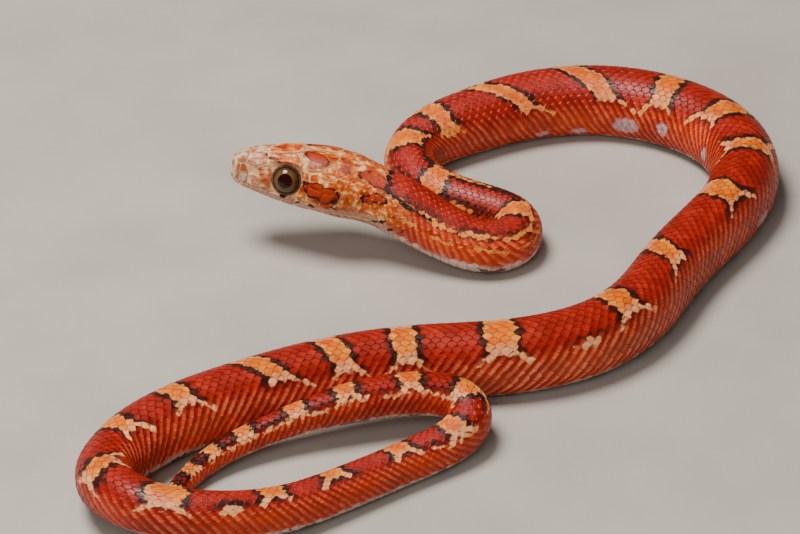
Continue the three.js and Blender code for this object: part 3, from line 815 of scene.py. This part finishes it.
def throat_scales():
    """Small smooth scales between the jaws and behind the chin shields, in nine rows."""
    roots = []
    for row in range(9):
        outermost = row in (0, 8)
        for step in range(11):
            s = -8.6 + (row % 2) * 0.5 + (2.2 if outermost else 0) + step
            if s < 2.4:
                roots.append([s, math.radians(140 + row * 10)])
    return plates("throat_scales", np.array(roots), math.radians(9.4), 1.3, 0.05, 0.05, 0)


def eye_directions(mirror):
    """An eye's axis outwards, and the directions ahead and upwards across it."""
    axis = eye_axis() * [1, mirror, 1]
    ahead = unit(np.array([1.0, 0, 0]) - axis * axis[0])
    return axis, ahead, np.cross(axis, ahead) * -mirror


def eye_piece(name, mirror):
    """An eyeball under its clear spectacle, with the angle from its axis kept for the iris and pupil."""
    rings, columns = 72, 96
    tilt = np.linspace(0, math.pi, rings)
    spin = np.linspace(0, 2 * math.pi, columns, endpoint=False)
    axis, ahead, upward = eye_directions(mirror)
    t, p = np.meshgrid(tilt, spin, indexing="ij")
    round_axis = np.cos(p)[..., None] * ahead + np.sin(p)[..., None] * upward
    away = np.cos(t)[..., None] * axis + np.sin(t)[..., None] * round_axis
    points = EYE_CENTRE * [1, mirror, 1] + EYE_RADIUS * away
    faces = grid_faces(rings, columns, closed=True)
    if mirror > 0:
        faces = faces[:, ::-1]
    floats = {"tilt": (t / math.pi).ravel(), "spin": np.sin(p).ravel(), "swing": np.cos(p).ravel()}
    out = 0.45 * t / math.pi
    uv = np.stack([0.5 + (out * np.cos(p)).ravel(), 0.5 + (out * np.sin(p)).ravel()], 1)
    return build_mesh(name, head_to_world(points.reshape(-1, 3)), faces, uv, floats)


def eye_rim(name, mirror):
    """The thin soft lip of skin round an eye."""
    columns, sides = 96, 12
    beads_round, half_width, half_height = 22, 0.17, 0.12
    axis, ahead, upward = eye_directions(mirror)
    spin, ring = np.meshgrid(np.linspace(0, 2 * math.pi, columns, endpoint=False),
                             np.linspace(0, 2 * math.pi, sides, endpoint=False), indexing="ij")
    out = np.cos(spin)[..., None] * ahead + np.sin(spin)[..., None] * upward
    beads = 1 + 0.10 * np.cos(spin * beads_round)
    off = EYE_RIM + 0.06 + half_width * beads * np.cos(ring)
    height = math.sqrt(EYE_RADIUS**2 - EYE_RIM**2) + 0.02 + half_height * beads * np.sin(ring)
    points = EYE_CENTRE * [1, mirror, 1] + out * off[..., None] + axis * height[..., None]
    faces = grid_faces(columns, sides, closed=True, looped=True)
    if mirror < 0:
        faces = faces[:, ::-1]
    local = points.reshape(-1, 3)
    home = unwrap(-local[:, 0], np.arctan2(local[:, 1], local[:, 2]))
    return build_mesh(name, head_to_world(local), faces, home)


def colour(text):
    """A linear colour from a six-digit one."""
    parts = [int(text[k:k + 2], 16) / 255 for k in (0, 2, 4)]
    return [p / 12.92 if p <= 0.04045 else ((p + 0.055) / 1.055) ** 2.4 for p in parts] + [1]


class Nodes:
    """Short calls that build a material's node tree."""

    def __init__(self, name):
        self.material = bpy.data.materials.new(name)
        self.material.use_nodes = True
        self.tree = self.material.node_tree
        self.shader = self.tree.nodes["Principled BSDF"]

    def plug(self, value, socket):
        if isinstance(value, bpy.types.NodeSocket):
            self.tree.links.new(value, socket)
        else:
            socket.default_value = value

    def attribute(self, name):
        node = self.tree.nodes.new("ShaderNodeAttribute")
        node.attribute_name = name
        return node.outputs["Fac"]

    def maths(self, operation, *values):
        node = self.tree.nodes.new("ShaderNodeMath")
        node.operation = operation
        for value, socket in zip(values, node.inputs):
            self.plug(value, socket)
        return node.outputs[0]

    def plus(self, first, second):
        return self.maths("ADD", first, second)

    def minus(self, first, second):
        return self.maths("SUBTRACT", first, second)

    def times(self, first, second):
        return self.maths("MULTIPLY", first, second)

    def span(self, value, low, high, start=0.0, end=1.0):
        """The value's smooth passage from low to high, as a number from start to end."""
        node = self.tree.nodes.new("ShaderNodeMapRange")
        node.interpolation_type = "SMOOTHSTEP"
        for key, item in (("Value", value), ("From Min", low), ("From Max", high), ("To Min", start),
                          ("To Max", end)):
            self.plug(item, node.inputs[key])
        return node.outputs[0]

    def blend(self, share, first, second, kind="MIX"):
        node = self.tree.nodes.new("ShaderNodeMix")
        node.data_type = "RGBA"
        node.blend_type = kind
        self.plug(share, node.inputs["Factor"])
        # Several sockets are named alike, and these three are the ones for colours
        self.plug(first, node.inputs[6])
        self.plug(second, node.inputs[7])
        return node.outputs[2]

    def ramp(self, value, stops):
        node = self.tree.nodes.new("ShaderNodeValToRGB")
        self.plug(value, node.inputs[0])
        elements = node.color_ramp.elements
        for i, (place, text) in enumerate(stops):
            element = elements[i] if i < 2 else elements.new(place)
            element.position = place
            element.color = colour(text)
        return node.outputs[0]

    def noise(self, scale, detail, place=None):
        """Noise by place, which is the object's own place unless another is given."""
        node = self.tree.nodes.new("ShaderNodeTexNoise")
        node.inputs["Scale"].default_value = scale
        node.inputs["Detail"].default_value = detail
        if place is None:
            place = self.tree.nodes.new("ShaderNodeTexCoord").outputs["Object"]
        self.tree.links.new(place, node.inputs["Vector"])
        return node.outputs["Fac"]

    def streaks(self, along, round_body):
        """Noise drawn out along the animal, by its distance and its angle."""
        join = self.tree.nodes.new("ShaderNodeCombineXYZ")
        self.plug(self.times(self.attribute("station"), along), join.inputs[0])
        self.plug(self.times(self.attribute("around"), round_body), join.inputs[1])
        return self.noise(1, 4, join.outputs[0])

    def bump(self, height, strength, distance):
        node = self.tree.nodes.new("ShaderNodeBump")
        node.inputs["Strength"].default_value = strength
        node.inputs["Distance"].default_value = distance
        self.plug(height, node.inputs["Height"])
        self.plug(node.outputs[0], self.shader.inputs["Normal"])


def coat_material(name, on_head):
    """The snake's colours: orange bars with dark edges on red, a streaked flank and a pale belly."""
    n = Nodes(name)
    bar, spot, black, lilac = (n.attribute(key) for key in ("bar", "spot", "black", "lilac"))
    flank, station, around = n.attribute("flank"), n.attribute("station"), n.attribute("around")
    across, light = n.attribute("crosswise"), n.attribute("light")
    fine, broad, specks, wide = n.noise(2600, 4), n.noise(420, 3), n.noise(5200, 2), n.noise(90, 2)
    wobble = n.times(n.minus(fine, 0.5), 0.45)
    bar = n.plus(bar, wobble)
    spot = n.plus(spot, n.times(wobble, 0.5))

    # Red of the back, running into the streaked red-orange of the flank
    diagonal = n.plus(n.attribute("diagonal"), n.times(wobble, 0.6))
    streak = n.times(n.span(diagonal, 0.72, 0.28), n.span(across, 0.98, 0.8))
    streak = n.times(streak, n.span(light, 0.0, 1.0, 0.65, 1.0))
    saddle = n.ramp(broad, [(0.3, "860a00"), (0.55, "981000"), (0.75, "ab1c02")])
    side = n.ramp(wide, [(0.35, "9c1600"), (0.5, "b42400"), (0.65, "c83400")])
    streak_colour = n.ramp(broad, [(0.3, "e85c2c"), (0.7, "fa9468")])
    low = n.span(flank, 0.26, 0.42)
    red = n.blend(low, saddle, side)
    streak = n.times(streak, n.span(flank, 0.20, 0.38, 0.08, 0.9))
    streak = n.times(streak, n.span(station, 90, 150, 0.6, 1.0))
    streak = n.times(streak, n.span(station, 185, 225, 1.0, 0.5))
    red = n.blend(streak, red, streak_colour)
    low_side = n.span(n.plus(flank, n.times(light, 0.05)), 0.655, 0.735)
    belly = n.ramp(fine, [(0.3, "c9a596"), (0.7, "e6d2c4")])
    red = n.blend(low_side, red, belly)
    lilac_colour = n.ramp(fine, [(0.3, "b88a94"), (0.7, "dcc4c4")])
    red = n.blend(n.times(n.span(lilac, -0.1, 0.25), 0.8), red, lilac_colour)

    # Bars, warm on the ridge and pinker and paler where they fork
    warm = n.ramp(broad, [(0.3, "ca4c00"), (0.5, "de6600"), (0.7, "ee8200")])
    pink = n.ramp(fine, [(0.3, "e88a5e"), (0.7, "ffc8a4")])
    paler = n.times(n.span(flank, 0.11, 0.23), n.span(station, 50, 130, 0.12, 1.0))
    patch = n.blend(paler, warm, pink)
    rim = n.times(n.span(bar, 0.65, 0.2), n.span(specks, 0.35, 0.6, 0.1, 0.7))
    patch = n.blend(rim, patch, n.ramp(fine, [(0.35, "ec8a24"), (0.65, "f6b860")]))
    patch = n.blend(n.times(n.span(across, 0.5, 0.95), 0.5), patch, colour("b84400"))

    dark = n.ramp(fine, [(0.3, "120606"), (0.7, "300c08")])
    on_neck = n.times(n.span(station, 36, 30), n.span(flank, 0.52, 0.40))
    near = n.times(n.span(bar, -1.0, -0.5), n.span(flank, 0.31, 0.19))
    near = n.maths("MAXIMUM", near, n.times(n.span(bar, -0.42, -0.2, 0.0, 0.8), on_neck))
    body = n.blend(n.times(near, 0.96), red, dark)
    body = n.blend(n.span(bar, -0.14, 0.06), body, patch)
    checks = n.times(n.span(n.noise(330, 1), 0.56, 0.60), n.span(flank, 0.70, 0.74))
    body = n.blend(n.times(checks, 0.85), body, colour("3d1c18"))

    if on_head:
        drawn_out = n.span(station, -16.8, -14.5, 0.0, 0.5)
        even = n.times(n.noise(760, 6), n.minus(1.0, drawn_out))
        mottle = n.plus(n.times(n.streaks(1.0, 26), drawn_out), even)
        crown = n.ramp(mottle, [(0.40, "8e2c02"), (0.47, "c04a04"), (0.54, "dc7018"), (0.60, "f4c68c")])
        pale = n.ramp(mottle, [(0.42, "a85830"), (0.5, "cc8c68"), (0.58, "f0d0b8")])
        crown = n.blend(n.span(station, -11.6, -15.4), crown, pale)
        lips = n.ramp(mottle, [(0.35, "bc7c60"), (0.65, "dcae98")])
        crown = n.blend(n.span(around, 0.54, 0.60), crown, lips)
        crown = n.blend(n.span(around, 0.72, 0.80), crown, n.ramp(broad, [(0.3, "cfa098"), (0.7, "e2c4ba")]))
        crown = n.blend(n.span(specks, 0.58, 0.70, 0.0, 0.55), crown, colour("7c3c22"))
        border = n.times(n.span(across, 0.86, 0.99), n.span(specks, 0.3, 0.6, 0.3, 0.8))
        crown = n.blend(border, crown, colour("f0c890"))
        on_back = n.times(n.span(station, 1.3, 2.3), n.span(around, 0.29, 0.22))
        on_side = n.times(n.span(station, 3.2, 6.5), n.span(around, 0.8, 0.7))
        behind = n.maths("MAXIMUM", on_back, on_side)
        body = n.blend(behind, crown, body)
        front_edge = n.times(n.span(on_back, 0.02, 0.3), n.span(on_back, 0.98, 0.7))
        body = n.blend(front_edge, body, dark)
    spot_red = n.ramp(broad, [(0.3, "9a2206"), (0.7, "b83c10")])
    spot_colour = n.blend(n.span(spot, 0.05, 0.17), dark, spot_red)
    body = n.blend(n.span(spot, -0.08, 0.04), body, spot_colour)
    body = n.blend(n.span(black, -0.05, 0.08), body, dark)
    shade = n.ramp(light, [(0.0, "e0e0e0"), (1.0, "ffffff")])
    body = n.blend(1.0, body, shade, "MULTIPLY")
    n.plug(body, n.shader.inputs["Base Color"])
    n.plug(n.span(fine, 0.3, 0.7, 0.38, 0.52), n.shader.inputs["Roughness"])
    n.shader.inputs["Specular IOR Level"].default_value = 0.3
    n.shader.inputs["Coat Weight"].default_value = 0.04
    n.shader.inputs["Coat Roughness"].default_value = 0.12
    n.bump(fine, 0.25, 0.00006)
    return n.material


def eye_material():
    """A dark round pupil in an olive-brown iris under a wet clear scale."""
    n = Nodes("eye")
    tilt = n.attribute("tilt")
    fibres = n.noise(2400, 4)
    broad = n.noise(900, 2)
    reach = n.plus(tilt, n.times(n.minus(fibres, 0.5), 0.03))
    iris = n.ramp(reach, [(0.155, "1b0b08"), (0.17, "6c4a26"), (0.22, "5a4422"), (0.29, "42321a"),
                          (0.33, "1a120c"), (0.36, "0c0706")])
    iris = n.blend(n.span(broad, 0.45, 0.65, 0.0, 0.4), iris, colour("2a1c10"))
    pupil = n.span(tilt, 0.170, 0.156)
    dark = n.ramp(fibres, [(0.3, "1c0303"), (0.7, "2c0706")])
    n.plug(n.blend(pupil, iris, dark), n.shader.inputs["Base Color"])
    n.plug(n.span(fibres, 0.3, 0.7, 0.05, 0.09), n.shader.inputs["Roughness"])
    n.shader.inputs["Specular IOR Level"].default_value = 0.1
    n.shader.inputs["Coat Weight"].default_value = 0.55
    n.shader.inputs["Coat Roughness"].default_value = 0.02
    return n.material


def rim_material():
    n = Nodes("eye_rim")
    fine = n.noise(2600, 4)
    n.plug(n.ramp(fine, [(0.3, "3a1d15"), (0.7, "7a4a38")]), n.shader.inputs["Base Color"])
    n.plug(n.span(fine, 0.3, 0.7, 0.35, 0.5), n.shader.inputs["Roughness"])
    n.bump(fine, 0.2, 0.00005)
    return n.material


def floor_material():
    n = Nodes("floor")
    grain = n.noise(60, 4)
    n.plug(n.ramp(grain, [(0.3, "a39c94"), (0.7, "aea79f")]), n.shader.inputs["Base Color"])
    n.plug(n.span(grain, 0.3, 0.7, 0.7, 0.8), n.shader.inputs["Roughness"])
    return n.material


def area_light(name, place, size, power, tint):
    """A round lamp that points at the middle of the animal."""
    data = bpy.data.lights.new(name, "AREA")
    data.shape = "DISK"
    data.size = size
    data.energy = power
    data.color = tint
    lamp = bpy.data.objects.new(name, data)
    lamp.location = place
    lamp.rotation_euler = (-Vector(place)).to_track_quat("-Z", "Y").to_euler()
    bpy.context.scene.collection.objects.link(lamp)
    return lamp


coat = coat_material("coat", False)
head_coat = coat_material("head_coat", True)
eye_finish = eye_material()
rim_finish = rim_material()

flesh = [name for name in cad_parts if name.startswith(("neck", "trunk", "tail", "head", "lower_jaw"))]


def finished(piece, material):
    piece.data.materials.append(material)
    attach(piece, "root")
    return piece


def split_materials(piece):
    """Gives the faces of the head the head's finish, and the rest of the piece the body's."""
    piece.data.materials.append(coat)
    piece.data.materials.append(head_coat)
    mesh = piece.data
    station = np.zeros(len(mesh.vertices), np.float32)
    mesh.attributes["station"].data.foreach_get("value", station)
    starts = np.zeros(len(mesh.polygons), np.int32)
    mesh.polygons.foreach_get("loop_start", starts)
    corner = np.zeros(len(mesh.loops), np.int32)
    mesh.loops.foreach_get("vertex_index", corner)
    mesh.polygons.foreach_set("material_index", (station[corner[starts]] < NECK_JOIN).astype(np.int32))
    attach(piece, "root")


skin = skin_piece()
split_materials(skin)
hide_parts(*flesh)
for piece in coat_pieces():
    split_materials(piece)
finished(head_shields(), head_coat)
for piece in nose_shields():
    finished(piece, head_coat)
finished(throat_scales(), head_coat)
for side, mirror in (("left", 1), ("right", -1)):
    ball = finished(eye_piece(f"eyeball_{side}", mirror), eye_finish)
    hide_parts(f"eye_{side}")
    finished(eye_rim(f"eye_rim_{side}", mirror), rim_finish)

bpy.ops.mesh.primitive_plane_add(size=3, location=(0, 0, -0.0001))
floor = bpy.context.object
floor.name = "floor"
floor.data.materials.append(floor_material())

world = bpy.data.worlds.new("studio")
bpy.context.scene.world = world
world.use_nodes = True
world.node_tree.nodes["Background"].inputs["Color"].default_value = (1.0, 0.98, 0.96, 1)
world.node_tree.nodes["Background"].inputs["Strength"].default_value = 0.13
area_light("key", (-0.15, 0.03, 0.42), 0.21, 3.4, (1.0, 0.96, 0.90))
fill = area_light("fill", (-0.22, -0.55, 0.45), 0.50, 2.2, (1.0, 0.97, 0.94))
fill.visible_glossy = False

# The camera looks down by this many degrees; its focal length is in pixels of the photo
CAMERA_PLACE = (-0.00643, -0.306168, 0.205874)
CAMERA_DROP = 33
FOCAL_PIXELS = 3022
PHOTO_WIDTH = 800
SENSOR_WIDTH = 36
camera_data = bpy.data.cameras.new("camera")
camera = bpy.data.objects.new("camera", camera_data)
bpy.context.scene.collection.objects.link(camera)
camera.location = CAMERA_PLACE
camera.rotation_euler = (math.radians(90 - CAMERA_DROP), 0, 0)
camera_data.sensor_width = SENSOR_WIDTH
camera_data.lens = SENSOR_WIDTH * FOCAL_PIXELS / PHOTO_WIDTH
bpy.context.scene.camera = camera
